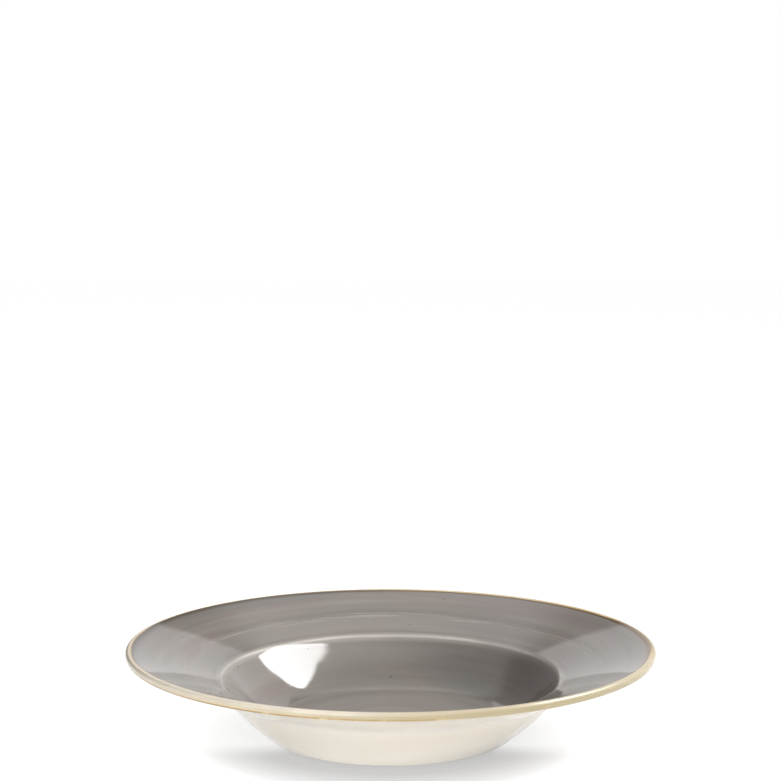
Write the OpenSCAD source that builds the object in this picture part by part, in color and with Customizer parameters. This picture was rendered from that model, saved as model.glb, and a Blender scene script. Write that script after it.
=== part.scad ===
// Wide-rim pasta plate of vitrified stoneware with a brushed grey glaze inside, a cream glaze
// outside, and an amber line along both corners of its edge.
// The plate stands on its foot ring. +Z is up, and the origin is the middle of the foot's plane.
// Every piece is turned from one outline, which runs from the middle of the well, over the rim
// and down the back to the middle of the base. The glazes are thin coats on the fired clay.

/* [Plate] */
// Diameter over the rim
rim_d = 280; // [220:1:340]
// Height from the table to the crest of the rim
plate_h = 48.5; // [36:0.5:64]

/* [Rim] */
// Diameter of the shoulder, where the rim turns down into the well
well_d = 180; // [140:1:220]
// Drop from the crest of the rim to the shoulder
rim_drop = 17.7; // [12:0.1:24]
// How far the slope of the rim bows either side of its mean, in degrees
rim_bow = 2.2; // [0:0.1:5]
// Radius of the rounded shoulder
shoulder_r = 8; // [4:0.5:12]
// Thickness of the rim beside the shoulder
rim_t = 5; // [3.5:0.1:7]

/* [Edge] */
// Radius of the rounded upper corner of the edge
edge_r = 1.6; // [1:0.1:2.4]
// Height of the flat band round the edge
edge_band_h = 1.3; // [0.4:0.1:2]
// How far the edge band leans in from upright, in degrees
edge_lean = 10; // [0:1:20]
// Radius of the rounded lower corner of the edge
edge_low_r = 1.2; // [0.8:0.1:2]

/* [Well] */
// Diameter of the well's floor
floor_d = 114; // [80:1:140]
// How far the middle of the floor is dished below its border
floor_dish = 0.4; // [0:0.1:1.5]
// Thickness of the base, under the floor's border
base_t = 5; // [3.5:0.1:7]
// Slope of the well's wall below the shoulder, in degrees
wall_slope = 49; // [38:1:65]
// Thickness of the well's wall
wall_t = 4.3; // [3.5:0.1:7]
// Length of the hollow curve under the shoulder, along the rim and along the wall
under_reach = 5; // [3:0.5:9]
// Diameter of the turning nub in the middle of the floor
nub_d = 7; // [3:0.5:12]
// Height of the turning nub
nub_h = 0.3; // [0.1:0.05:0.8]

/* [Foot] */
// How far the foot ring stands out beyond the floor's border
foot_out = 4.5; // [3:0.5:9]
// Width of the foot's flat, which is left without glaze
foot_w = 3.6; // [2:0.1:6]
// Depth of the recess inside the foot ring
foot_h = 1.8; // [1.2:0.1:3.5]
// Reach of the rounding from the foot's flat up to the wall
foot_flare = 4.7; // [2:0.1:7]
// Slope of the wall where it meets the foot, in degrees
foot_slope = 37; // [24:1:45]
// Radius of the rounded inner corner of the foot
foot_in_r = 0.8; // [0.6:0.1:1.1]

/* [Glaze] */
// Thickness of the grey coat on the face
face_coat_t = 0.5; // [0.3:0.05:0.7]
// Thickness of the cream coat on the edge, the back and the base
back_coat_t = 0.4; // [0.3:0.05:0.5]
// Width of the amber line along the upper corner of the edge
line_w = 1.5; // [0.8:0.1:2.5]

/* [Hidden] */
// Sides used only where a turned solid is drawn as a mesh
$fn = 180;

// Handle lengths of the free curves, as shares of each curve's chord
floor_handle_share = 0.33;
wall_low_handle_share = 0.31;
wall_top_handle_share = 0.41;
rim_handle_share = 0.33;
hollow_handle_share = 0.37;
back_handle_share = 0.33;

// Points along each kind of curve
long_steps = 20;
arc_steps = 10;
small_steps = 6;

// Radii and heights that the outline is hung on
rim_r = rim_d / 2;
well_r = well_d / 2;
floor_r = floor_d / 2;
nub_r = nub_d / 2;
foot_r = floor_r + foot_out;
flat_r = foot_r - foot_w;
recess_r = flat_r - foot_h;
floor_z = foot_h + base_t;
crest_r = rim_r - edge_r;
rim_slope = atan(rim_drop / (crest_r - well_r));
rim_in_slope = rim_slope + rim_bow;
rim_out_slope = rim_slope - rim_bow;

// Unit vector at an angle from the radial direction, turning up
function unit(a) = [cos(a), sin(a)];

// Points of an arc about c, from angle a to angle b. Each carries its outward normal.
function arc(c, r, a, b, steps) = [
    for (i = [0 : steps])
        let (u = unit(a + (b - a) * i / steps)) [c + r * u, u]
];

// The same with the surface on the hollow side, so that the normal points at the centre
function hollow_arc(c, r, a, b, steps) = [for (s = arc(c, r, a, b, steps)) [s[0], -s[1]]];

// Points of a free curve from p, heading at angle a, to q, heading at angle b. The handles are
// shares of the chord. The outward normal is on the left of the way it runs.
function free_curve(p, a, q, b, p_share, q_share, steps) =
    let (
        chord = norm(q - p),
        p_handle = p + p_share * chord * unit(a),
        q_handle = q - q_share * chord * unit(b)
    ) [
        for (i = [0 : steps])
            let (
                t = i / steps,
                s = 1 - t,
                at = s * s * s * p + 3 * s * s * t * p_handle + 3 * s * t * t * q_handle
                    + t * t * t * q,
                way = s * s * (p_handle - p) + 2 * s * t * (q_handle - p_handle)
                    + t * t * (q - q_handle)
            ) [at, [-way.y, way.x] / norm(way)]
    ];

// A straight run between two points
function straight(p, q) = let (way = q - p, n = [-way.y, way.x] / norm(way)) [[p, n], [q, n]];

// Gives each point of a curve the thickness of the coat under it, from t0 to t1
function coated(curve, t0, t1) = [
    for (i = [0 : len(curve) - 1])
        [curve[i][0], curve[i][1], t0 + (t1 - t0) * i / (len(curve) - 1)]
];

// Joins curves that follow each other, keeping one copy of each shared point
function joined(curves) = concat(
    curves[0], [for (k = [1 : 1 : len(curves) - 1]) for (i = [1 : len(curves[k]) - 1]) curves[k][i]]
);

// Points on the finished surface, and points on the clay under the coat
function outer(skin) = [for (s = skin) s[0]];
function under(skin) = [for (s = skin) s[0] - s[2] * s[1]];
function turned_back(points) = [for (i = [len(points) - 1 : -1 : 0]) points[i]];

// Shoulder: an arc whose middle lies at the well's diameter and at the rim's drop
shoulder_mid = [well_r, plate_h - rim_drop];
shoulder_c = shoulder_mid - shoulder_r * unit(90 + (wall_slope + rim_in_slope) / 2);
wall_top = shoulder_c + shoulder_r * unit(90 + wall_slope);
rim_start = shoulder_c + shoulder_r * unit(90 + rim_in_slope);

// Edge: the line's upper corner, the rounded crest, the leaning band and the lower corner
line_start = [crest_r - line_w, plate_h - line_w * tan(rim_out_slope / 2)];
line_r = line_w / sin(rim_out_slope);
crest_c = [crest_r, plate_h - edge_r];
band_top = crest_c + edge_r * unit(-edge_lean);
band_foot = band_top - edge_band_h * unit(90 - edge_lean);
low_c = band_foot - edge_low_r * unit(-edge_lean);
low_end = low_c + edge_low_r * unit(rim_out_slope - 90);

// Back: the hollow under the shoulder, the wall and the foot
under_start = rim_start + rim_t * unit(rim_in_slope - 90) + under_reach * unit(rim_in_slope);
under_end = wall_top + wall_t * unit(wall_slope - 90) - under_reach * unit(wall_slope);
flare_r = foot_flare / sin(foot_slope);
flare_c = [foot_r, flare_r];
flare_top = flare_c + flare_r * unit(foot_slope - 90);

// Skins: the finished surface of each coat, in order along the outline
face_skin = coated(joined([
    free_curve([0, floor_z - floor_dish + nub_h], 0, [nub_r, floor_z - floor_dish], 0,
        floor_handle_share, floor_handle_share, small_steps),
    free_curve([nub_r, floor_z - floor_dish], 0, [floor_r, floor_z], 0,
        floor_handle_share, floor_handle_share, arc_steps),
    free_curve([floor_r, floor_z], 0, wall_top, wall_slope,
        wall_low_handle_share, wall_top_handle_share, long_steps),
    arc(shoulder_c, shoulder_r, 90 + wall_slope, 90 + rim_in_slope, arc_steps),
    free_curve(rim_start, rim_in_slope, line_start, rim_out_slope,
        rim_handle_share, rim_handle_share, long_steps),
]), face_coat_t, face_coat_t);

upper_line_skin = coated(
    arc([crest_r, plate_h - line_r], line_r, 90 + rim_out_slope, 90, small_steps),
    face_coat_t, back_coat_t);

edge_skin = coated(joined([
    arc(crest_c, edge_r, 90, 0, arc_steps),
    arc(crest_c, edge_r, 0, -edge_lean, small_steps),
    straight(band_top, band_foot),
]), back_coat_t, back_coat_t);

lower_line_skin = coated(
    arc(low_c, edge_low_r, -edge_lean, rim_out_slope - 90, small_steps),
    back_coat_t, back_coat_t);

// The coat thins out to nothing where the foot's flat begins
back_skin = joined([
    coated(joined([
        free_curve(low_end, 180 + rim_out_slope, under_start, 180 + rim_in_slope,
            rim_handle_share, rim_handle_share, long_steps),
        free_curve(under_start, 180 + rim_in_slope, under_end, 180 + wall_slope,
            hollow_handle_share, hollow_handle_share, arc_steps),
        free_curve(under_end, 180 + wall_slope, flare_top, 180 + foot_slope,
            back_handle_share, back_handle_share, long_steps),
    ]), back_coat_t, back_coat_t),
    coated(arc(flare_c, flare_r, foot_slope - 90, -90, arc_steps), back_coat_t, 0),
]);

base_skin = joined([
    coated(arc([flat_r, foot_in_r], foot_in_r, -90, -180, small_steps), 0, back_coat_t),
    coated(joined([
        hollow_arc([recess_r, foot_in_r], foot_h - foot_in_r, 0, 90, small_steps),
        straight([recess_r, foot_h], [0, foot_h]),
    ]), back_coat_t, back_coat_t),
]);

// One coat of glaze, turned from its skin and the clay's face under it
module coat(skin) {
    rotate_extrude() polygon(concat(outer(skin), turned_back(under(skin))));
}

// The fired clay, with the foot ring and its bare flat
module clay_body() {
    color("#cdbfa6") rotate_extrude() polygon(concat(
        under(joined([face_skin, upper_line_skin, edge_skin, lower_line_skin, back_skin])),
        under(base_skin)
    ));
}

// The brushed grey coat over the well and the rim
module face_glaze() {
    color("#7d7873") coat(face_skin);
}

// The amber line where the grey coat ends, along the upper corner of the edge
module upper_edge_line() {
    color("#9a6a2c") coat(upper_line_skin);
}

// The cream coat round the outside of the edge
module edge_glaze() {
    color("#e6dcc4") coat(edge_skin);
}

// The amber line along the lower corner of the edge
module lower_edge_line() {
    color("#c9a766") coat(lower_line_skin);
}

// The cream coat on the back, from the edge down to the foot's flat
module back_glaze() {
    color("#e8e0d2") coat(back_skin);
}

// The cream coat in the recess inside the foot ring
module base_glaze() {
    color("#e8e0d2") coat(base_skin);
}

clay_body();
face_glaze();
upper_edge_line();
edge_glaze();
lower_edge_line();
back_glaze();
base_glaze();
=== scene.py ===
import math
from collections import defaultdict, namedtuple

import bpy
import numpy as np
from mathutils import Matrix, Vector


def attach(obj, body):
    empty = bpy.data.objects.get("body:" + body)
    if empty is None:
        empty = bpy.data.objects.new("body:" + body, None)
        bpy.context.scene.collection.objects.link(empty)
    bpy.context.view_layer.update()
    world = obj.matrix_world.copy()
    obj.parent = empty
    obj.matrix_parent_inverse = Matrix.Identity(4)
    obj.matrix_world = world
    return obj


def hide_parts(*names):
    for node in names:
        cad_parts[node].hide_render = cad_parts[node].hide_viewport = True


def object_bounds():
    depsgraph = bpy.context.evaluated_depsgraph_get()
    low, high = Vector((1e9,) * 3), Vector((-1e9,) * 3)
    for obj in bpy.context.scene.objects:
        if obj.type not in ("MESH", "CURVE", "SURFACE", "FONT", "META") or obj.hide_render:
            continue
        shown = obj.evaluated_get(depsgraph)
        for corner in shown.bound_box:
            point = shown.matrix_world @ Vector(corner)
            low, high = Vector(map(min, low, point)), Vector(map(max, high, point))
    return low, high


# Dresses the pasta plate. The glaze coats are turned again as fine meshes with the relief of
# brushwork, from the outline that the frame's own coats have, and every surface gets a
# procedural material. Lengths are in metres.

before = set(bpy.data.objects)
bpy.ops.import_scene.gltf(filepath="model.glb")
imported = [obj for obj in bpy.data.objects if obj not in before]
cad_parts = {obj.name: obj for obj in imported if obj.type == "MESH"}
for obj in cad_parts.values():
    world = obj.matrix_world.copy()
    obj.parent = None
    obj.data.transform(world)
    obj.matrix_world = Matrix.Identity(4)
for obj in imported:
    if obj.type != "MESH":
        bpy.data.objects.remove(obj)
cad_low, cad_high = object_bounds()

MM = 0.001
RIM_R = cad_high.x
CREST_Z = cad_high.z
SHOULDER_R = 90 * MM

# The picture, and the camera that stands 1 m from the middle of the rim's plane, a little above
# it, and is turned up, so that the plate lies low in the frame
PICTURE_W, PICTURE_H = 780, 781
CAMERA_DISTANCE = 1.0
CAMERA_ELEVATION = math.radians(13.36)
CAMERA_CLIP = 50
RIM_MIDDLE = Vector((0, 0, CREST_Z))
AIM = Vector((-0.3 * MM, 0, CREST_Z + 134.7 * MM))
FOCAL_PX = 1861
SENSOR = 36

# Fineness of the turned meshes, and the angle between faces that makes an edge sharp
SEGMENTS = 540
SKIN_STEP = 0.7 * MM
FINE_STEP = 0.2 * MM
SHARP_ANGLE = math.radians(50)

# How near a vertex on the seam is to the seam's plane, how near two points are that are one, and
# the cosine of the least turn that is a corner
ON_SEAM = 1e-7
TOUCHING = 1e-6
CORNER_COSINE = 0.5

# Relief of the brushed glaze: how deep the grooves are, how far the coat's surface wanders, how
# wide the smooth strip at its borders is, and the waves that the two are made of
GROOVE_DEPTH = 0.003 * MM
WANDER_DEPTH = 0.035 * MM
FADE = 2 * MM
GROOVE_WAVES = {"count": 36, "lobes": 3, "shortest": 2.2 * MM, "longest": 7 * MM}
WANDER_WAVES = {"count": 24, "lobes": 5, "shortest": 25 * MM, "longest": 90 * MM}
WAVE_SPREAD = 1.5


def make_camera():
    """The photograph's camera. It has no shift, so that it serves other views too."""
    data = bpy.data.cameras.new("camera")
    data.sensor_width = SENSOR
    data.lens = SENSOR * FOCAL_PX / max(PICTURE_W, PICTURE_H)
    data.clip_end = CAMERA_CLIP
    camera = bpy.data.objects.new("camera", data)
    away = Vector((0, -math.cos(CAMERA_ELEVATION), math.sin(CAMERA_ELEVATION)))
    camera.location = away * CAMERA_DISTANCE + RIM_MIDDLE
    camera.rotation_mode = "QUATERNION"
    camera.rotation_quaternion = (AIM - camera.location).to_track_quat("-Z", "Y")
    bpy.context.scene.collection.objects.link(camera)
    bpy.context.scene.camera = camera


# Outlines, read from the frame

def to_axis(point):
    """Points from the border of a flat face in to the axis, which the face's own mesh lacks."""
    count = int(point[0] / SKIN_STEP)
    radii = point[0] * (1 - np.arange(1, count + 1) / count)
    return np.stack([radii, np.full(count, point[1])], 1)


def seam_chain(node):
    """The outline of a turned node, and whether it closes on itself or ends on the axis.

    It is read as (radius, height) points along the seam of the node's mesh.
    """
    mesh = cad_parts[node].data
    seam = {v.index: (round(v.co.x, 6), round(v.co.z, 6))
            for v in mesh.vertices if abs(v.co.y) < ON_SEAM and v.co.x > -ON_SEAM}
    near = defaultdict(set)
    for edge in mesh.edges:
        a, b = edge.vertices
        if a in seam and b in seam and seam[a] != seam[b]:
            near[seam[a]].add(seam[b])
            near[seam[b]].add(seam[a])
    ends = [p for p in near if len(near[p]) == 1]
    here = max(ends, key=lambda p: p[1]) if ends else min(near)
    chain, before = [here], None
    while True:
        onward = [p for p in near[here] if p != before and p != chain[0]]
        if not onward or len(chain) > len(near):
            break
        before, here = here, min(onward)
        chain.append(here)
    chain = np.array(chain)
    if ends:
        chain = np.vstack([to_axis(chain[0])[::-1], chain, to_axis(chain[-1])])
    return chain, not ends


def coat_sides(node, outward):
    """The finished side and the clay side of a coat, each from its smaller radius outwards.

    The outline is split at its sharp corners, and its two longest stretches are the sides.
    """
    chain, closed = seam_chain(node)
    if closed:
        chain = np.vstack([chain, chain[:1]])
    way = np.diff(chain, axis=0)
    way /= np.linalg.norm(way, axis=1)[:, None]
    turn = (way[1:] * way[:-1]).sum(1)
    corners = [i + 1 for i in range(len(turn)) if turn[i] < CORNER_COSINE]
    if closed and (way[0] * way[-1]).sum() >= CORNER_COSINE:
        # The walk began in mid-side, so it is begun again at a corner
        chain = np.vstack([chain[corners[0]:-1], chain[:corners[0] + 1]])
        corners = [i - corners[0] for i in corners] + [len(chain) - 1]
    else:
        corners = [0] + corners + [len(chain) - 1]
    sides = [chain[a:b + 1] for a, b in zip(corners, corners[1:])]
    sides = sorted(sides, key=lambda s: -np.linalg.norm(np.diff(s, axis=0), axis=1).sum())[:2]
    sides = [s if s[0][0] < s[-1][0] else s[::-1] for s in sides]
    reach = [(s.mean(0) * outward).sum() for s in sides]
    return sides if reach[0] > reach[1] else sides[::-1]


def finer(side, step):
    """A cubic curve through the points of a side, taken at even steps.

    Gives the points, the unit tangents there, and how far along the curve each point is.
    """
    lengths = np.linalg.norm(np.diff(side, axis=0), axis=1)
    at = np.concatenate([[0], np.cumsum(lengths)])
    slope = np.gradient(side, at, axis=0)
    wanted = np.linspace(0, at[-1], max(2, int(round(at[-1] / step)) + 1))
    k = np.clip(np.searchsorted(at, wanted, side="right") - 1, 0, len(at) - 2)
    h = lengths[k][:, None]
    t = ((wanted - at[k]) / lengths[k])[:, None]
    points = ((2 * t ** 3 - 3 * t ** 2 + 1) * side[k] + (t ** 3 - 2 * t ** 2 + t) * h * slope[k]
              + (3 * t ** 2 - 2 * t ** 3) * side[k + 1] + (t ** 3 - t ** 2) * h * slope[k + 1])
    tangents = np.gradient(points, wanted, axis=0)
    return points, tangents / np.linalg.norm(tangents, axis=1)[:, None], wanted


# Turned meshes

def waves(seed, along, around, count, lobes, shortest, longest):
    """A smooth field, from 0 to 1, of many waves that each close on themselves round the plate."""
    draw = np.random.default_rng(seed)
    field = 0
    for _ in range(count):
        lobe = draw.integers(0, lobes + 1)
        length = shortest * (longest / shortest) ** draw.random()
        phase = 2 * math.pi * draw.random()
        across = 2 * math.pi * along[:, None] / length
        field = field + np.cos(lobe * around[None, :] + across + phase)
    return 0.5 + 0.5 * np.tanh(field / math.sqrt(count / 2) / WAVE_SPREAD)


def relief(seed, along, around):
    """How far the finished side lies under the frame's, so that it never stands proud of it."""
    grooves = waves(seed, along, around, **GROOVE_WAVES)
    wander = waves(seed + 1, along, around, **WANDER_WAVES)
    end = np.minimum(along, along[-1] - along) / FADE
    fade = np.clip(end, 0, 1)[:, None]
    depth = GROOVE_DEPTH * (1 - grooves) + WANDER_DEPTH * (1 - wander)
    return depth * fade * fade * (3 - 2 * fade)


def away_from(clay_side, points, tangents):
    """The unit normals of the finished side that point away from the clay."""
    normals = np.stack([-tangents[:, 1], tangents[:, 0]], 1)
    gaps = points[:, None] - clay_side[None]
    nearest = np.linalg.norm(gaps, axis=2).argmin(1)
    outwards = (gaps[np.arange(len(points)), nearest] * normals).sum() >= 0
    return normals if outwards else -normals


def turned_coat(name, node, outward, step, seed=None):
    """A coat of glaze as one closed turned mesh, which stands for the frame's.

    Outward is the way in radius and height that its finished side faces. A seed gives it relief.
    """
    finished, clay_side = coat_sides(node, np.array(outward))
    points, tangents, along = finer(finished, step)
    normals = away_from(clay_side, points, tangents)
    around = np.arange(SEGMENTS) * 2 * math.pi / SEGMENTS
    depth = np.zeros((len(points), SEGMENTS)) if seed is None else relief(seed, along, around)
    radius = points[:, :1] - normals[:, :1] * depth
    height = points[:, 1:] - normals[:, 1:] * depth
    clay_side = clay_side[::-1]
    if np.allclose(clay_side[0], points[-1], atol=TOUCHING):
        clay_side = clay_side[1:]
    if np.allclose(clay_side[-1], points[0], atol=TOUCHING):
        clay_side = clay_side[:-1]
    radius = np.vstack([radius, clay_side[:, :1] + 0 * around])
    height = np.vstack([height, clay_side[:, 1:] + 0 * around])
    spots, faces = ring_faces(radius, height, around)
    return dressed_mesh(name, node, spots, faces)


def ring_faces(radius, height, around):
    """The points and faces of a closed chain of rings. A ring on the axis is one point."""
    rings = len(radius)
    spots, index = [], np.zeros((rings, SEGMENTS), int)
    count = 0
    for i in range(rings):
        if radius[i].max() < TOUCHING:
            spots.append(np.array([[0, 0, height[i].mean()]]))
            index[i] = count
        else:
            x, y = radius[i] * np.cos(around), radius[i] * np.sin(around)
            spots.append(np.stack([x, y, height[i]], 1))
            index[i] = count + np.arange(SEGMENTS)
        count += len(spots[i])
    faces = []
    pole = [len(s) == 1 for s in spots]
    for i in range(rings):
        j = (i + 1) % rings
        if pole[i] and pole[j]:
            continue
        a, b = index[i], index[j]
        a2, b2 = np.roll(a, -1), np.roll(b, -1)
        if pole[i]:
            faces += np.stack([a, b, b2], 1).tolist()
        elif pole[j]:
            faces += np.stack([a, b, a2], 1).tolist()
        else:
            faces += np.stack([a, b, b2, a2], 1).tolist()
    return np.vstack(spots), faces


def dressed_mesh(name, node, spots, faces):
    """Makes the piece, smooth but for its sharp edges, and puts it in the node's place."""
    mesh = bpy.data.meshes.new(name)
    mesh.from_pydata(spots.tolist(), [], faces)
    mesh.validate()
    piece = bpy.data.objects.new(name, mesh)
    bpy.context.scene.collection.objects.link(piece)
    bpy.context.view_layer.objects.active = piece
    bpy.ops.object.select_all(action="DESELECT")
    piece.select_set(True)
    bpy.ops.object.mode_set(mode="EDIT")
    bpy.ops.mesh.select_all(action="SELECT")
    bpy.ops.mesh.normals_make_consistent(inside=False)
    bpy.ops.object.mode_set(mode="OBJECT")
    mesh.polygons.foreach_set("use_smooth", [True] * len(mesh.polygons))
    mesh.set_sharp_from_angle(angle=SHARP_ANGLE)
    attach(piece, "root")
    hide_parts(node)
    return piece


# Materials

class Graph:
    """The node tree of a material, a lamp or the world, with short calls for its nodes."""

    def __init__(self, owner):
        self.owner = owner
        owner.use_nodes = True
        self.tree = owner.node_tree
        self.shader = self.tree.nodes.get("Principled BSDF")

    def add(self, kind, inputs=(), **settings):
        node = self.tree.nodes.new("ShaderNode" + kind)
        for key, value in settings.items():
            setattr(node, key, value)
        for key, value in dict(inputs).items():
            self.give(node.inputs[key], value)
        return node

    def give(self, socket, value):
        if isinstance(value, bpy.types.NodeSocket):
            self.tree.links.new(value, socket)
        else:
            socket.default_value = value

    def math(self, operation, a, b=0.0, third=0.0):
        node = self.add("Math", operation=operation)
        for socket, value in zip(node.inputs, (a, b, third)):
            self.give(socket, value)
        return node.outputs[0]

    def vector(self, operation, inputs):
        node = self.add("VectorMath", inputs, operation=operation)
        return node.outputs["Value" if operation in ("LENGTH", "DOT_PRODUCT") else "Vector"]

    def centred(self, value, reach):
        """Makes a value from 0 to 1 swing to both sides of 0."""
        return self.math("MULTIPLY", self.math("SUBTRACT", value, 0.5), reach)

    def fit(self, value, low, high, to_low=0.0, to_high=1.0, easing="SMOOTHSTEP"):
        """Maps a value from one range to another, eased at both ends unless it is LINEAR."""
        node = self.add("MapRange", {"Value": value, "From Min": low, "From Max": high,
                                     "To Min": to_low, "To Max": to_high},
                        interpolation_type=easing)
        return node.outputs["Result"]

    def blend(self, share, a, b):
        """Mixes two colours."""
        node = self.add("Mix", data_type="RGBA")
        self.give(node.inputs["Factor"], share)
        self.give(node.inputs["A"], a)
        self.give(node.inputs["B"], b)
        return [o for o in node.outputs if o.type == "RGBA"][0]

    def noise(self, where, scale, detail=2.0, roughness=0.5):
        node = self.add("TexNoise", {"Vector": where, "Scale": scale, "Detail": detail,
                                     "Roughness": roughness})
        return node.outputs["Fac"]


def srgb(red, green, blue):
    """A colour given as display values from 0 to 255."""
    def straight(v):
        v = v / 255
        return v / 12.92 if v <= 0.04045 else ((v + 0.055) / 1.055) ** 2.4
    return (straight(red), straight(green), straight(blue), 1.0)


MAUVE_GREY = srgb(124, 114, 109)
OLIVE_GREY = srgb(118, 114, 106)
PALE_GREY = srgb(140, 134, 128)
DEEP_GREY = srgb(104, 99, 95)
LIGHT_STROKE = srgb(163, 156, 148)
DARK_STROKE = srgb(86, 80, 75)
# Pale ridge on the shoulder: thin glaze and a painted highlight
RIDGE_PALE_AND_HIGHLIGHT = srgb(208, 202, 194)
SPECK = srgb(52, 44, 38)
SOOT = srgb(80, 74, 68)
DARK_BROWN = srgb(76, 60, 42)
BROWN = srgb(114, 86, 48)
AMBER = srgb(152, 122, 76)
GOLDEN = srgb(203, 180, 136)
OCHRE = srgb(152, 118, 60)
EDGE_GLOW = srgb(204, 178, 128)
# Painted highlight on the edge's cream, at the left of the front
EDGE_HIGHLIGHT = srgb(223, 213, 196)
EDGE_CREAM = srgb(205, 196, 175)
# Painted shade on the edge's cream, to the right
EDGE_PAINTED_SHADE = srgb(186, 173, 145)
# Tan of the edge and of the iron line; on the edge's lower side it is partly painted shade
EDGE_TAN_AND_SHADE = srgb(174, 161, 128)
# Painted shade on the edge's cream at the two tips, browner at the right one
LEFT_TIP_SHADE = srgb(172, 159, 130)
RIGHT_TIP_BROWN_AND_SHADE = srgb(168, 148, 100)
CREAM = srgb(234, 229, 219)
CREAM_SHADE = srgb(232, 225, 213)
CREAM_STAIN = srgb(229, 217, 200)
# Painted light on the cream, in the fold under the rim and low on the back
CREAM_PAINTED_LIGHT = srgb(248, 244, 236)
CLAY = srgb(214, 204, 187)
CLAY_GROG = srgb(192, 180, 160)
CLAY_MARK = srgb(170, 160, 146)
GLAZE_IOR = 1.5
GLAZE_BUMP = 0.02 * MM
CLAY_BUMP = 0.05 * MM

# Bands, as the radii where each begins, is full, starts to fade and ends
PALE_BAND = (91 * MM, 97 * MM, 106 * MM, 111 * MM)
STROKE_BAND = (105 * MM, 108 * MM, 109 * MM, 112 * MM)
# Painted reflection on the upper wall
WALL_SHEEN_BAND = (72 * MM, 82 * MM, 88 * MM, 91 * MM)
SMEAR_BAND = (1.5 * MM, 5 * MM, 12 * MM, 24 * MM)
# Painted light in the fold under the rim
FOLD_PAINTED_LIGHT = (87 * MM, 94 * MM, 97 * MM, 106 * MM)
# The shoulder's pale ridge, thin glaze and a painted highlight: its broad glow and its core
RIDGE_GLOW = tuple(SHOULDER_R + step * MM for step in (-3, -0.2, 0.8, 4))
RIDGE_CORE = tuple(SHOULDER_R + step * MM for step in (-0.8, 0.1, 0.6, 1.4))

# How far the brush strokes stray from true circles: the streaks, and the band and the middle
BRUSH_WARP = 6 * MM
BRUSH_WANDER = 16 * MM

# Radii where a tone of the face or the back begins, and where it is full. The painted shade on the
# right of the face and the painted light low on the back are among them
RIGHT_SHADE = (50 * MM, 70 * MM)
GROUND = (56 * MM, 44 * MM)
MIDDLE = (27 * MM, 23 * MM)
NUB = (3.2 * MM, 1.6 * MM)
# Where the painted light low on the back begins and is full, and how much further in it reaches on
# the right
LOW_PAINTED_LIGHT = (82 * MM, 67 * MM)
LOW_PAINTED_LIGHT_MOVE = 6 * MM

# Specks, as the scale of their cells, the share of the cells that hold one, and their sizes in
# the cells' scale
LARGE_SPECKS = {"scale": 95.0, "share": 0.062, "small": 0.028, "large": 0.05}
SMALL_SPECKS = {"scale": 190.0, "share": 0.04, "small": 0.035, "large": 0.065}

# The lines along the upper corner: the radius where they start, how far that sways and wobbles
# and how far it moves at the two tips, how far soot drives the amber out, the soot before the
# lines, and where past their start one colour gives way to the next
LINE_START_R = RIM_R - 4.45 * MM
LINE_SWAY = 0.4 * MM
LINE_WOBBLE = 0.7 * MM
LEFT_TIP_MOVE = -0.5 * MM
RIGHT_TIP_MOVE = -0.1 * MM
SOOT_MOVE = -0.9 * MM
SOOT_BEFORE = (-2.4 * MM, -0.2 * MM)
GREY_TO_DARK = (-0.1 * MM, 0.25 * MM)
DARK_TO_AMBER = (0.65 * MM, 1.15 * MM)
AMBER_TO_GOLDEN = (1.1 * MM, 1.6 * MM)
GOLDEN_TO_CREAM = (1.75 * MM, 2.5 * MM)

# Heights on the outside of the edge, where its tan, partly painted shade, and its amber glow begin
# and where they are full
EDGE_TAN_AND_SHADE_Z = (CREST_Z - 0.8 * MM, CREST_Z - 2.0 * MM)
EDGE_GLOW_Z = (CREST_Z - 2.0 * MM, CREST_Z - 3.2 * MM)
EDGE_TAN_AND_SHADE_RISE = 0.5 * MM

# Bearings, in degrees round the axis as the photograph shows the plate: 0 is its right, 90 the
# far side, 180 its left and -90 the front
# Where the edge cream's painted highlight and painted shade are strongest
EDGE_HIGHLIGHT_AT = 240
SHADED_EDGE_AT = -28
TAN_AND_SHADE_EDGE_AT = -45
TAN_AND_SHADE_RISES_AT = -35
# Where the edge cream's painted shade at the tips is strongest
SHADED_RIGHT_TIP_AT = 4
SHADED_LEFT_TIP_AT = 174
LINES_WIDEN_AT = 4
LINES_RIGHT_TIP_AT = 8
LINES_LEFT_TIP_AT = 180
LINES_OUTERMOST_AT = 225
SOOTY_AT = 140
IRON_AT = 234
STROKES_AT = 80
# Where the painted reflection on the upper wall and the painted shade on the face are strongest
WALL_SHEEN_AT = 140
SHADED_FACE_AT = 12
SMEAR_AT = -68
# Where the shoulder's painted highlight is weaker
RIDGE_HIGHLIGHT_WEAK_AT = 22
RIDGE_HIGHLIGHT_DIM_AT = 190
# Where the painted light low on the back reaches furthest in
LOW_PAINTED_LIGHT_WIDENS_AT = 305

Spot = namedtuple("Spot", "place flat radius direction")


def locate(graph):
    """Where a point of the plate is: in space, in plan, and as a radius and a direction."""
    place = graph.add("TexCoord").outputs["Object"]
    flat = graph.vector("MULTIPLY", {0: place, 1: (1, 1, 0)})
    radius = graph.vector("LENGTH", {0: flat})
    direction = graph.vector("NORMALIZE", {0: flat})
    return Spot(place, flat, radius, direction)


def round_noise(graph, spot, spread, scale, detail, roughness=0.5):
    """Noise that changes only with the direction from the axis."""
    where = graph.vector("SCALE", {0: spot.direction, "Scale": spread})
    return graph.noise(where, scale, detail, roughness)


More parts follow.
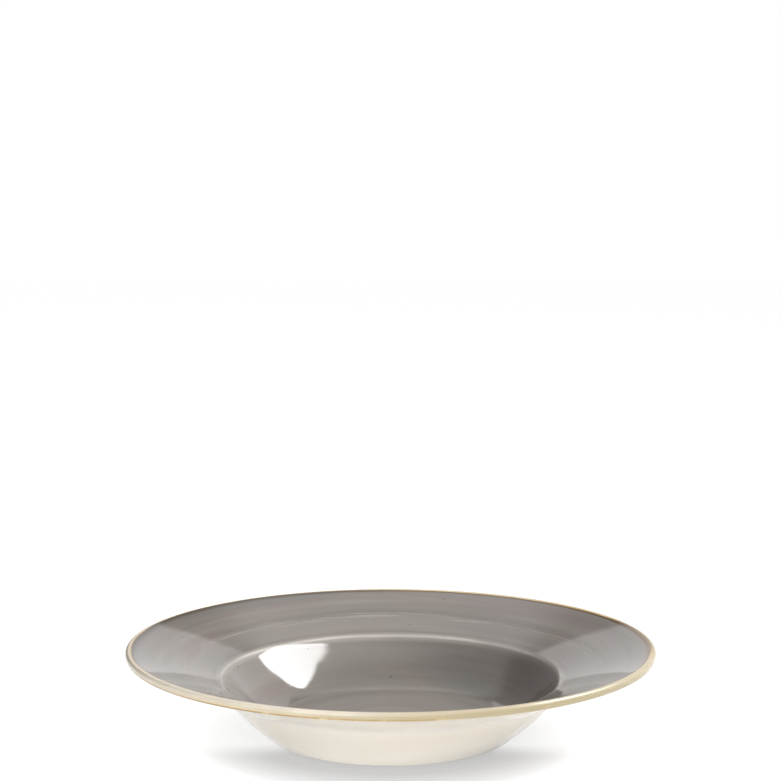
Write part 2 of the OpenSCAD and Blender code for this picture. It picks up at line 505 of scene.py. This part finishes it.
def strokes(graph, spot, depth, spread, scale, detail=2.0, roughness=0.5):
    """Noise drawn out along circles round the axis, as a brush leaves it on a turning plate.

    Depth is the length that the strokes lie side by side along. Spread says how fast the noise
    changes round the plate, and across the strokes.
    """
    wide = graph.vector("SCALE", {0: spot.direction, "Scale": spread[0]})
    deep = graph.math("MULTIPLY", depth, spread[1])
    lift = graph.add("CombineXYZ", {"Z": deep}).outputs[0]
    return graph.noise(graph.vector("ADD", {0: wide, 1: lift}), scale, detail, roughness)


def bearing(graph, spot, degrees):
    """1 on one bearing from the axis, 0 at right angles to it and -1 on the far side."""
    a = math.radians(degrees)
    return graph.vector("DOT_PRODUCT", {0: spot.direction, 1: (math.cos(a), math.sin(a), 0)})


def sector(graph, spot, degrees, low, high, to_low=0.0, to_high=1.0):
    """Goes from one value to another towards a bearing. Low and high are cosines of the angle."""
    return graph.fit(bearing(graph, spot, degrees), low, high, to_low, to_high)


def band(graph, value, start, full, fade, end):
    """1 between two values, and eased to 0 on both sides."""
    return graph.math("MULTIPLY", graph.fit(value, start, full), graph.fit(value, end, fade))


def bump(graph, height, strength, distance):
    node = graph.add("Bump", {"Strength": strength, "Distance": distance, "Height": height})
    graph.give(graph.shader.inputs["Normal"], node.outputs["Normal"])


def glazed(graph, colour, roughness):
    """Gives the surface the colour, the roughness and the reflection of a glaze."""
    graph.give(graph.shader.inputs["Base Color"], colour)
    graph.give(graph.shader.inputs["Roughness"], roughness)
    graph.give(graph.shader.inputs["IOR"], GLAZE_IOR)


def painted_light_edge_cream(g, spot):
    """The cream of the edge: a painted highlight makes it light at the left of the front, and
    painted shade makes it darker to the right and at the tips, browner at the right tip.
    """
    cloud = round_noise(g, spot, 4.0, 2.0, 3.0)
    # Painted highlight at the left of the front, painted shade to the right and at the tips
    light = sector(g, spot, EDGE_HIGHLIGHT_AT, 0.72, 0.97)
    dark = sector(g, spot, SHADED_EDGE_AT, 0.2, 0.8)
    colour = g.blend(light, EDGE_CREAM, EDGE_HIGHLIGHT)
    colour = g.blend(dark, colour, EDGE_PAINTED_SHADE)
    colour = g.blend(sector(g, spot, SHADED_LEFT_TIP_AT, 0.9, 0.99, 0.0, 0.8), colour, LEFT_TIP_SHADE)
    colour = g.blend(sector(g, spot, SHADED_RIGHT_TIP_AT, 0.93, 0.995), colour, RIGHT_TIP_BROWN_AND_SHADE)
    return g.blend(g.fit(cloud, 0.35, 0.7, 0.0, 0.2), colour, EDGE_TAN_AND_SHADE)


def line_start(g, spot, right_tip):
    """The radius where the lines start, furthest out at the left of the front."""
    left_tip = sector(g, spot, LINES_LEFT_TIP_AT, 0.95, 0.995)
    sway = bearing(g, spot, LINES_OUTERMOST_AT)
    start = g.math("MULTIPLY_ADD", sway, LINE_SWAY, third=LINE_START_R)
    start = g.math("MULTIPLY_ADD", left_tip, LEFT_TIP_MOVE, third=start)
    return g.math("MULTIPLY_ADD", right_tip, RIGHT_TIP_MOVE, third=start)


def edge_colours(g, colour, spot):
    """The dark and the amber line where the grey coat ends, and the cream past them, with its
    painted highlight and painted shade.

    They are wider on the right, brown at the right tip, and sooty on the far side at the left.
    """
    shift = g.centred(round_noise(g, spot, 3.5, 2.0, 3.0), LINE_WOBBLE)
    right_tip = sector(g, spot, LINES_RIGHT_TIP_AT, 0.93, 0.995)
    spread = g.math("MULTIPLY", sector(g, spot, LINES_WIDEN_AT, 0.6, 0.97), 0.3)
    spread = g.math("MULTIPLY_ADD", right_tip, 0.65, third=spread)
    past = g.math("SUBTRACT", g.math("ADD", spot.radius, shift), line_start(g, spot, right_tip))
    at = g.math("DIVIDE", past, g.math("ADD", spread, 1.0))

    blush = round_noise(g, spot, 1.2, 1.3, 3.0)
    sooty = sector(g, spot, SOOTY_AT, 0.35, 0.95)
    smoked = g.math("MULTIPLY", g.fit(past, *SOOT_BEFORE), g.math("MULTIPLY", sooty, 0.6))
    colour = g.blend(smoked, colour, SOOT)
    dark = g.blend(g.fit(blush, 0.4, 0.7), DARK_BROWN, BROWN)
    dark = g.blend(g.math("MULTIPLY", sooty, 0.8), dark, SOOT)
    amber = g.blend(g.math("MULTIPLY", sooty, 0.8), AMBER, BROWN)
    amber = g.blend(g.math("MULTIPLY", right_tip, 0.9), amber, BROWN)
    golden = g.blend(g.math("MULTIPLY", right_tip, 0.85), GOLDEN, BROWN)

    out = g.math("MULTIPLY_ADD", sooty, SOOT_MOVE, third=at)
    line = g.blend(g.fit(out, *DARK_TO_AMBER), dark, amber)
    line = g.blend(g.fit(out, *AMBER_TO_GOLDEN), line, golden)
    line = g.blend(g.fit(out, *GOLDEN_TO_CREAM), line, painted_light_edge_cream(g, spot))
    return g.blend(g.fit(at, *GREY_TO_DARK), colour, line)


def gathered(g, spot):
    """How much iron gathered on the lower corner. There is most at the left of the front."""
    along = round_noise(g, spot, 1.6, 1.2, 4.0, 0.6)
    fine = strokes(g, spot, spot.radius, (14.0, 500), 2.0, 3.0)
    more = sector(g, spot, IRON_AT, 0.5, 0.92, -0.08, 0.3)
    amount = g.math("ADD", g.math("ADD", along, more), g.centred(fine, 0.3))
    return g.fit(amount, 0.5, 0.8)


def speck_mask(g, flat, scale, share, small, large):
    """Scattered uneven specks: few of the cells of a cellular pattern hold one."""
    cells = g.add("TexVoronoi", {"Vector": flat, "Scale": scale}, voronoi_dimensions="2D")
    split = g.add("SeparateColor", {"Color": cells.outputs["Color"]})
    cluster = g.fit(g.noise(flat, 13.0), 0.4, 0.68, 0.3, 2.2)
    chosen = g.math("LESS_THAN", split.outputs[0], g.math("MULTIPLY", cluster, share))
    size = g.fit(split.outputs[1], 0.0, 1.0, small, large)
    ragged = g.centred(g.noise(flat, 2200.0), large)
    inside = g.math("LESS_THAN", g.math("ADD", cells.outputs["Distance"], ragged), size)
    return g.math("MULTIPLY", chosen, inside)


def brushed_grey(g, spot, depth, streak):
    """Two greys drawn out along circles, with paler and darker streaks."""
    tint = strokes(g, spot, depth, (0.5, 26), 1.9)
    broad = strokes(g, spot, depth, (0.45, 60), 1.5, 2.5, 0.55)
    colour = g.blend(g.fit(tint, 0.36, 0.64), MAUVE_GREY, OLIVE_GREY)
    colour = g.blend(g.fit(broad, 0.5, 0.74, 0.0, 0.6), colour, PALE_GREY)
    colour = g.blend(g.fit(broad, 0.5, 0.27, 0.0, 0.6), colour, DEEP_GREY)
    colour = g.blend(g.fit(streak, 0.5, 0.75, 0.0, 0.16), colour, LIGHT_STROKE)
    return g.blend(g.fit(streak, 0.5, 0.28, 0.0, 0.16), colour, DARK_STROKE)


def rim_strokes(g, spot, depth, wander, colour):
    """A paler band that the brush left round the rim, with broken strokes on its outer border."""
    ring = g.math("ADD", spot.radius, wander)
    colour = g.blend(g.math("MULTIPLY", band(g, ring, *PALE_BAND), 0.4), colour, PALE_GREY)
    broken = g.fit(strokes(g, spot, depth, (1.6, 500), 2.0, 3.0), 0.46, 0.62)
    side = sector(g, spot, STROKES_AT, -0.2, 0.75, 0.15, 1.0)
    stroke = g.math("MULTIPLY", band(g, ring, *STROKE_BAND), broken)
    stroke = g.math("MULTIPLY", stroke, g.math("MULTIPLY", side, 0.6))
    return g.blend(stroke, colour, LIGHT_STROKE)


def wall_painted_light(g, spot, colour):
    """A painted reflection makes the upper wall paler at the far left, and painted shade makes the
    face darker on the right.
    """
    # Painted reflection on the upper wall at the far left
    pale = sector(g, spot, WALL_SHEEN_AT, 0.2, 0.75, 0.0, 0.6)
    pale = g.math("MULTIPLY", band(g, spot.radius, *WALL_SHEEN_BAND), pale)
    colour = g.blend(pale, colour, PALE_GREY)
    # Painted shade on the right of the face
    shaded = sector(g, spot, SHADED_FACE_AT, 0.3, 0.95, 0.0, 0.28)
    shaded = g.math("MULTIPLY", shaded, g.fit(spot.radius, *RIGHT_SHADE))
    return g.blend(shaded, colour, DEEP_GREY)


def floor_tones(g, spot, wander, colour):
    """The middle of the well is paler, with a darker smear beside the turning nub."""
    near = g.math("ADD", spot.radius, g.math("MULTIPLY", wander, 0.15))
    ground = g.math("MULTIPLY", g.fit(spot.radius, *GROUND), 0.7)
    pale = g.math("MULTIPLY_ADD", g.fit(near, *MIDDLE), 0.3, third=ground)
    colour = g.blend(pale, colour, PALE_GREY)
    cloud = g.math("MULTIPLY", g.noise(spot.flat, 90.0, 3.0), 0.9)
    swirl = g.math("ADD", bearing(g, spot, SMEAR_AT), cloud)
    swirl = g.math("SUBTRACT", swirl, g.math("MULTIPLY", spot.radius, 18.0))
    smear = g.math("MULTIPLY", g.fit(swirl, 0.55, 1.3), band(g, spot.radius, *SMEAR_BAND))
    colour = g.blend(g.math("MULTIPLY", smear, 0.4), colour, DARK_STROKE)
    return g.blend(g.math("MULTIPLY", g.fit(spot.radius, *NUB), 0.5), colour, LIGHT_STROKE)


def thin_glaze_and_highlight_shoulder(g, spot, colour):
    """The glaze runs thin over the shoulder and shows the pale clay through, and a painted highlight
    lies along it, weaker towards the right and at the left.
    """
    core = g.math("MULTIPLY", band(g, spot.radius, *RIDGE_CORE), 0.48)
    ridge = g.math("MULTIPLY_ADD", band(g, spot.radius, *RIDGE_GLOW), 0.4, third=core)
    thin = g.fit(strokes(g, spot, spot.radius, (1.3, 200), 1.8), 0.3, 0.62, 0.65, 1.0)
    # The painted highlight is weaker towards the right and at the left
    highlight_by_bearing = g.math("MULTIPLY", sector(g, spot, RIDGE_HIGHLIGHT_WEAK_AT, 0.8, 0.98, 1.0, 0.35),
                  sector(g, spot, RIDGE_HIGHLIGHT_DIM_AT, 0.7, 0.96, 1.0, 0.5))
    share = g.math("MULTIPLY", ridge, g.math("MULTIPLY", thin, highlight_by_bearing))
    return g.blend(share, colour, RIDGE_PALE_AND_HIGHLIGHT)


def grey_glaze():
    """Warm grey glaze, laid on with a brush while the plate turned, with iron specks, and with
    painted light and shade on the wall, the shoulder and the edge.
    """
    g = Graph(bpy.data.materials.new("grey_glaze"))
    spot = locate(g)
    warp = g.noise(spot.flat, 9.0)
    depth = g.math("ADD", spot.radius, g.math("MULTIPLY", warp, BRUSH_WARP))
    wander = g.centred(round_noise(g, spot, 1.4, 1.6, 3.0), BRUSH_WANDER)
    fine = strokes(g, spot, depth, (0.5, 300), 1.7, 4.0, 0.6)
    finest = strokes(g, spot, depth, (1.2, 800), 2.0, 3.0, 0.6)
    streak = g.math("ADD", g.math("MULTIPLY", fine, 0.7), g.math("MULTIPLY", finest, 0.3))

    colour = brushed_grey(g, spot, depth, streak)
    colour = rim_strokes(g, spot, depth, wander, colour)
    colour = wall_painted_light(g, spot, colour)
    colour = floor_tones(g, spot, wander, colour)
    colour = thin_glaze_and_highlight_shoulder(g, spot, colour)
    specks = g.math("MAXIMUM", speck_mask(g, spot.flat, **LARGE_SPECKS),
                    speck_mask(g, spot.flat, **SMALL_SPECKS))
    colour = g.blend(g.math("MULTIPLY", specks, 0.8), colour, SPECK)
    colour = edge_colours(g, colour, spot)
    glazed(g, colour, g.fit(streak, 0.3, 0.7, 0.055, 0.085))
    bump(g, streak, 0.05, GLAZE_BUMP)
    return g.owner


def cream_glaze():
    """Cream glaze with faint warm clouds and stains.

    Painted light makes it paler in the fold under the rim, and low on the wall and on the base,
    reaching further in on the right.
    """
    g = Graph(bpy.data.materials.new("cream_glaze"))
    spot = locate(g)
    cloud = g.noise(spot.place, 14.0, 3.0)
    streak = strokes(g, spot, spot.radius, (0.9, 160), 2.0, 3.0)
    colour = g.blend(g.fit(cloud, 0.35, 0.65), CREAM, CREAM_SHADE)
    # Painted light in the fold and low on the wall, reaching further in on the right
    wider = sector(g, spot, LOW_PAINTED_LIGHT_WIDENS_AT, 0.7, 0.97)
    inward = g.math("MULTIPLY_ADD", wider, -LOW_PAINTED_LIGHT_MOVE, third=spot.radius)
    low_light = g.fit(inward, *LOW_PAINTED_LIGHT, 0.0, 0.65)
    painted_light = g.math("MAXIMUM", band(g, spot.radius, *FOLD_PAINTED_LIGHT), low_light)
    colour = g.blend(painted_light, colour, CREAM_PAINTED_LIGHT)
    colour = g.blend(g.fit(streak, 0.42, 0.75, 0.0, 0.12), colour, CREAM_STAIN)
    glazed(g, colour, g.fit(cloud, 0.3, 0.7, 0.1, 0.15))
    bump(g, streak, 0.06, GLAZE_BUMP)
    return g.owner


def edge_glaze():
    """The cream of the edge, tan towards its lower side, partly the glaze's own tan and partly
    painted shade, most of all at the right of the front.
    """
    g = Graph(bpy.data.materials.new("edge_cream_glaze"))
    spot = locate(g)
    height = g.add("SeparateXYZ", {0: spot.place}).outputs["Z"]
    cloud = strokes(g, spot, height, (2.5, 300), 2.0, 3.0)
    # The tan on the lower side is partly the glaze's own colour and partly painted shade
    rise = sector(g, spot, TAN_AND_SHADE_RISES_AT, 0.3, 0.9, 0.0, EDGE_TAN_AND_SHADE_RISE)
    lower = g.fit(g.math("SUBTRACT", height, rise), *EDGE_TAN_AND_SHADE_Z)
    side = sector(g, spot, TAN_AND_SHADE_EDGE_AT, -0.15, 0.85, 0.2, 1.0)
    tan = g.math("MULTIPLY", g.math("MULTIPLY", lower, side), g.fit(cloud, 0.3, 0.7, 0.7, 1.0))
    colour = g.blend(tan, painted_light_edge_cream(g, spot), EDGE_TAN_AND_SHADE)
    glow = g.math("MULTIPLY", g.fit(height, *EDGE_GLOW_Z), gathered(g, spot))
    colour = g.blend(g.math("MULTIPLY", glow, 0.4), colour, EDGE_GLOW)
    glazed(g, colour, g.fit(cloud, 0.3, 0.7, 0.09, 0.14))
    return g.owner


def upper_line():
    """The dark and the amber line, which wander over the coats on either side of the corner."""
    g = Graph(bpy.data.materials.new("upper_edge_line"))
    glazed(g, edge_colours(g, MAUVE_GREY, locate(g)), 0.1)
    return g.owner


def lower_line():
    """Iron along the lower corner: amber where it gathered, and tan elsewhere."""
    g = Graph(bpy.data.materials.new("lower_edge_line"))
    amount = gathered(g, locate(g))
    colour = g.blend(g.fit(amount, 0.0, 0.75), EDGE_TAN_AND_SHADE, GOLDEN)
    colour = g.blend(g.fit(amount, 0.5, 0.9, 0.0, 0.75), colour, OCHRE)
    glazed(g, colour, 0.12)
    return g.owner


def fired_clay():
    """Bare vitrified clay: matt, off-white, with a fine grog and grinding marks."""
    g = Graph(bpy.data.materials.new("fired_clay"))
    spot = locate(g)
    grain = g.noise(spot.place, 1400.0, 4.0, 0.65)
    marks = strokes(g, spot, spot.radius, (1.5, 1500), 2.0, 3.0)
    colour = g.blend(g.fit(grain, 0.35, 0.7), CLAY, CLAY_GROG)
    colour = g.blend(g.fit(marks, 0.55, 0.75, 0.0, 0.4), colour, CLAY_MARK)
    g.give(g.shader.inputs["Base Color"], colour)
    g.give(g.shader.inputs["Roughness"], g.fit(grain, 0.3, 0.7, 0.6, 0.8))
    bump(g, grain, 0.4, CLAY_BUMP)
    return g.owner


# Stage: floor, world and lamps

# The floor: its size, how white it is, the share of its true shade in what is seen of it, how
# far it lies under the foot, and the hole in it that lets light under the base
FLOOR_SIZE = 12
FLOOR_ALBEDO = 0.9
FLOOR_TRUE_SHARE = 0.2
FLOOR_DROP = 0.1 * MM
FLOOR_HOLE_R = 61 * MM

# The shadow drawn on it: how far it reaches, how open a place is where it is darkest and where
# it ends, its level and that of the floor, and where and how much it fades towards the back
SHADOW_REACH = 30 * MM
SHADOW_SAMPLES = 16
SHADOW_OPENNESS = (0.3, 1.0)
SHADOW_LEVELS = (0.46, 0.955)
SHADOW_FADE_Y = (-50 * MM, -20 * MM)
SHADOW_FADE = 0.7

# The world: its light from above and from below, and what is mirrored of it. The backdrop's top
# rises to both sides, and it ends on the left. The ceiling comes in between two elevations
WORLD_LEVEL = 0.22
WORLD_BELOW = 0.9
HORIZON_SOFT = 0.02
BACKDROP_TOP = 0.352
BACKDROP_RISE = 0.88
BACKDROP_SOFT = 0.02
BACKDROP_SIDE = 0.2
BACKDROP_SIDE_SOFT = 0.03
GAP_LEVEL = 0.25
CEILING_FROM = math.sin(math.radians(33))
CEILING_TO = math.sin(math.radians(44))
CEILING_LEVEL = 1.0

# The lamps. Azimuth 0 is behind the plate and 90 to its right. All angles are in degrees
LAMP_DISTANCE = 1.6
KEY = {"azimuth": 78, "elevation": 43, "width": 1.36, "height": 0.74, "radiance": 14.5,
       "roll": 9.3, "aside": -0.15, "above": 0.215}
FRONT = {"azimuth": 186, "elevation": 14.5, "width": 2.0, "height": 0.76, "radiance": 2.7}
LOW_CARD = {"azimuth": 205, "elevation": 4, "width": 2.2, "height": 0.22, "radiance": 6.3}
REAR = {"azimuth": 0, "elevation": 10, "width": 2.0, "height": 0.5, "radiance": 2.6}

# Outline of the key lamp, in metres from its middle: the saddle in its upper border, and the left
# border, which leans out above a waist and opens out again below a hip
KEY_SADDLE_TOP = 0.18
KEY_SADDLE_LEFT = 0.235
KEY_SADDLE_RIGHT = 0.35
KEY_FALL = 0.18
KEY_RISE = 0.43
KEY_LEFT = -0.423
KEY_WAIST = -0.085
KEY_LEAN = 0.53
KEY_HIP = -0.165
KEY_SPREAD = 0.5
KEY_SOFT = 0.03


def floor_shadow(g, place):
    """How light the floor is seen: white, with a shadow close round the foot."""
    open_sky = g.add("AmbientOcclusion", {"Distance": SHADOW_REACH}, samples=SHADOW_SAMPLES)
    behind = g.fit(g.add("SeparateXYZ", {0: place}).outputs["Y"], *SHADOW_FADE_Y, 0.0, SHADOW_FADE)
    eased = g.add("Mix", {0: behind, 2: open_sky.outputs["AO"], 3: 1.0}).outputs[0]
    return g.fit(eased, *SHADOW_OPENNESS, *SHADOW_LEVELS, easing="LINEAR")


def floor_look(g):
    """A true white floor to the light, and mostly a drawn white and shadow to camera and glaze.

    The camera sees through it from below, and inside the foot ring it is open to all.
    """
    place = g.add("TexCoord").outputs["Object"]
    rays = g.add("LightPath").outputs
    seen = g.math("MAXIMUM", rays["Is Camera Ray"], rays["Is Glossy Ray"])
    seen = g.math("MAXIMUM", seen, rays["Is Transmission Ray"])
    shown = g.math("MULTIPLY", floor_shadow(g, place), seen)
    white = g.add("Emission", {"Strength": shown})
    true = g.add("BsdfDiffuse", {"Color": (FLOOR_ALBEDO, FLOOR_ALBEDO, FLOOR_ALBEDO, 1)})
    black = g.add("BsdfDiffuse", {"Color": (0, 0, 0, 1)})
    held = g.math("MULTIPLY", seen, 1 - FLOOR_TRUE_SHARE)
    dimmed = g.add("MixShader", {0: held, 1: true.outputs[0], 2: black.outputs[0]})
    both = g.add("AddShader", {0: dimmed.outputs[0], 1: white.outputs[0]})

    below = g.add("NewGeometry").outputs["Backfacing"]
    below = g.math("MULTIPLY", below, rays["Is Camera Ray"])
    hole = g.math("LESS_THAN", g.vector("LENGTH", {0: place}), FLOOR_HOLE_R)
    clear = g.add("BsdfTransparent").outputs[0]
    open_share = g.math("MAXIMUM", below, hole)
    return g.add("MixShader", {0: open_share, 1: both.outputs[0], 2: clear}).outputs[0]


def make_floor():
    """A white floor that keeps the plate's shadow."""
    mesh = bpy.data.meshes.new("floor")
    half = FLOOR_SIZE / 2
    corners = [(-half, -half, 0), (half, -half, 0), (half, half, 0), (-half, half, 0)]
    mesh.from_pydata(corners, [], [(0, 1, 2, 3)])
    floor = bpy.data.objects.new("floor", mesh)
    floor.location.z = -FLOOR_DROP
    bpy.context.scene.collection.objects.link(floor)
    g = Graph(bpy.data.materials.new("floor"))
    g.tree.nodes.remove(g.shader)
    g.give(g.tree.nodes["Material Output"].inputs["Surface"], floor_look(g))
    mesh.materials.append(g.owner)


def make_world():
    """A white studio. What mirrors it sees a backdrop, a dim gap over it, and a pale ceiling."""
    g = Graph(bpy.data.worlds.new("studio"))
    rays = g.add("LightPath").outputs
    way = g.add("SeparateXYZ", {0: g.add("TexCoord").outputs["Generated"]}).outputs
    top = g.math("MULTIPLY_ADD", g.math("ABSOLUTE", way["X"]), -BACKDROP_RISE, third=way["Z"])
    over = g.fit(top, BACKDROP_TOP, BACKDROP_TOP + BACKDROP_SOFT, 1.0, GAP_LEVEL)
    side_end = -BACKDROP_SIDE - BACKDROP_SIDE_SOFT
    backdrop = g.fit(way["X"], -BACKDROP_SIDE, side_end, over, GAP_LEVEL)
    mirrored = g.fit(way["Z"], CEILING_FROM, CEILING_TO, backdrop, CEILING_LEVEL)
    fill = g.fit(way["Z"], -HORIZON_SOFT, 0.0, WORLD_BELOW, WORLD_LEVEL)
    lit = g.fit(rays["Is Glossy Ray"], 0.0, 1.0, fill, mirrored)
    seen = g.fit(rays["Is Camera Ray"], 0.0, 1.0, lit, 1.0)
    through = g.fit(rays["Is Transmission Ray"], 0.0, 1.0, seen, 1.0)
    background = g.tree.nodes["Background"]
    g.give(background.inputs["Color"], (1, 1, 1, 1))
    g.give(background.inputs["Strength"], through)
    bpy.context.scene.world = g.owner


def softbox(name, azimuth, elevation, width, height, radiance, roll=0.0, aside=0.0, above=0.0):
    """A rectangular lamp that faces the well.

    It can be rolled about its line to the well, and then moved in its own plane.
    """
    a, e = math.radians(azimuth), math.radians(elevation)
    away = Vector((math.sin(a) * math.cos(e), math.cos(a) * math.cos(e), math.sin(e)))
    across = Vector((math.cos(a), -math.sin(a), 0))
    upward = across.cross(away)
    k = math.radians(roll)
    right = across * math.cos(k) + upward * math.sin(k)
    up = upward * math.cos(k) - across * math.sin(k)
    data = bpy.data.lights.new(name, "AREA")
    data.shape = "RECTANGLE"
    data.size, data.size_y = width, height
    data.energy = radiance * math.pi * width * height
    lamp = bpy.data.objects.new(name, data)
    lamp.location = away * LAMP_DISTANCE + right * aside + up * above + Vector((0, 0, CREST_Z / 2))
    lamp.rotation_mode = "QUATERNION"
    lamp.rotation_quaternion = Matrix((-right, up, away)).transposed().to_quaternion()
    lamp.visible_camera = False
    bpy.context.scene.collection.objects.link(lamp)
    return lamp


def cut_out(lamp):
    """Cuts the lamp's upper border into a saddle and its left border into an edge that leans.

    Coordinates are in metres from the middle of the lamp: across to its right, and up.
    """
    g = Graph(lamp.data)
    place = g.add("SeparateXYZ", {0: g.add("NewGeometry").outputs["Parametric"]}).outputs
    across = g.math("MULTIPLY", g.math("SUBTRACT", 0.5, place["X"]), lamp.data.size)
    up = g.centred(place["Y"], lamp.data.size_y)
    falling = g.math("MULTIPLY", g.math("SUBTRACT", KEY_SADDLE_LEFT, across), KEY_FALL)
    rising = g.math("MULTIPLY", g.math("SUBTRACT", across, KEY_SADDLE_RIGHT), KEY_RISE)
    saddle = g.math("MAXIMUM", g.math("MAXIMUM", falling, rising), 0.0)
    top = g.math("ADD", saddle, KEY_SADDLE_TOP)
    leaning = g.math("MULTIPLY", g.math("SUBTRACT", up, KEY_WAIST), KEY_LEAN)
    opening = g.math("MULTIPLY", g.math("SUBTRACT", KEY_HIP, up), KEY_SPREAD)
    bulge = g.math("MAXIMUM", g.math("MAXIMUM", leaning, opening), 0.0)
    left = g.math("SUBTRACT", KEY_LEFT, bulge)
    under = g.fit(g.math("SUBTRACT", top, up), -KEY_SOFT, KEY_SOFT)
    inside = g.fit(g.math("SUBTRACT", across, left), -KEY_SOFT, KEY_SOFT)
    g.give(g.tree.nodes["Emission"].inputs["Strength"], g.math("MULTIPLY", under, inside))


make_camera()
make_world()
make_floor()
cut_out(softbox("key", **KEY))
softbox("front", **FRONT)
softbox("low card", **LOW_CARD)
rear = softbox("rear", **REAR)
rear.visible_glossy = False

# The way that a coat's finished side faces, as a change of radius and of height
UP, DOWN, OUT, OUT_AND_DOWN = (0, 1), (0, -1), (1, 0), (1, -1)

cream = cream_glaze()
coats = [
    (turned_coat("grey_face_coat", "face_glaze", UP, SKIN_STEP, seed=11), grey_glaze()),
    (turned_coat("upper_line_coat", "upper_edge_line", UP, FINE_STEP), upper_line()),
    (turned_coat("edge_coat", "edge_glaze", OUT, FINE_STEP), edge_glaze()),
    (turned_coat("lower_line_coat", "lower_edge_line", OUT_AND_DOWN, FINE_STEP),
     lower_line()),
    (turned_coat("back_coat", "back_glaze", DOWN, SKIN_STEP, seed=23), cream),
    (turned_coat("base_coat", "base_glaze", DOWN, SKIN_STEP), cream),
]
for coat, finish in coats:
    coat.data.materials.append(finish)
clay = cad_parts["clay_body"]
clay.material_slots[0].link = "OBJECT"
clay.material_slots[0].material = fired_clay()

bpy.context.scene.view_settings.view_transform = "Standard"
